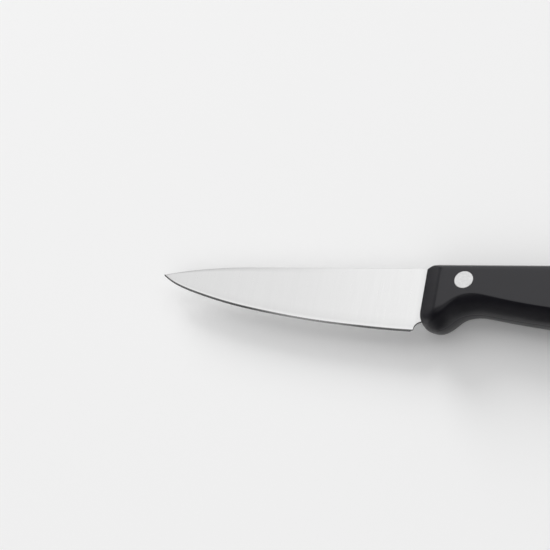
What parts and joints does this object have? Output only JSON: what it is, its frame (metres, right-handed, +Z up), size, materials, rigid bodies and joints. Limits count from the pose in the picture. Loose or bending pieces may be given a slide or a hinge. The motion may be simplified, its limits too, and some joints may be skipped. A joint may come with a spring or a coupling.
{
  "type": "paring knife",
  "caption": "Small kitchen paring knife: ground steel blade with a tang, closed in two dark moulded handle scales and held by flush rivets.",
  "frame": {"origin": "under the middle of the knife's length and depth, on the surface that it lies on", "axes": "+Z up through the knife's flat sides, +X from the blade's point towards the butt, +Y from the cutting edge towards the spine"},
  "size_m": [0.198, 0.023, 0.015],
  "materials": {
    "blade_steel": "fine satin grind across the blade, with a brighter bevel at the edge",
    "handle_plastic": "dark moulded plastic with a satin surface",
    "rivet_steel": "ground flush with the handle's sides"
  },
  "bodies": {
    "root": {"blade": "blade_steel", "upper_scale": "handle_plastic", "lower_scale": "handle_plastic", "front_rivet_sleeve": "rivet_steel", "front_rivet_pin": "rivet_steel", "middle_rivet_sleeve": "rivet_steel", "middle_rivet_pin": "rivet_steel", "rear_rivet_sleeve": "rivet_steel", "rear_rivet_pin": "rivet_steel"}
  },
  "joints": []
}
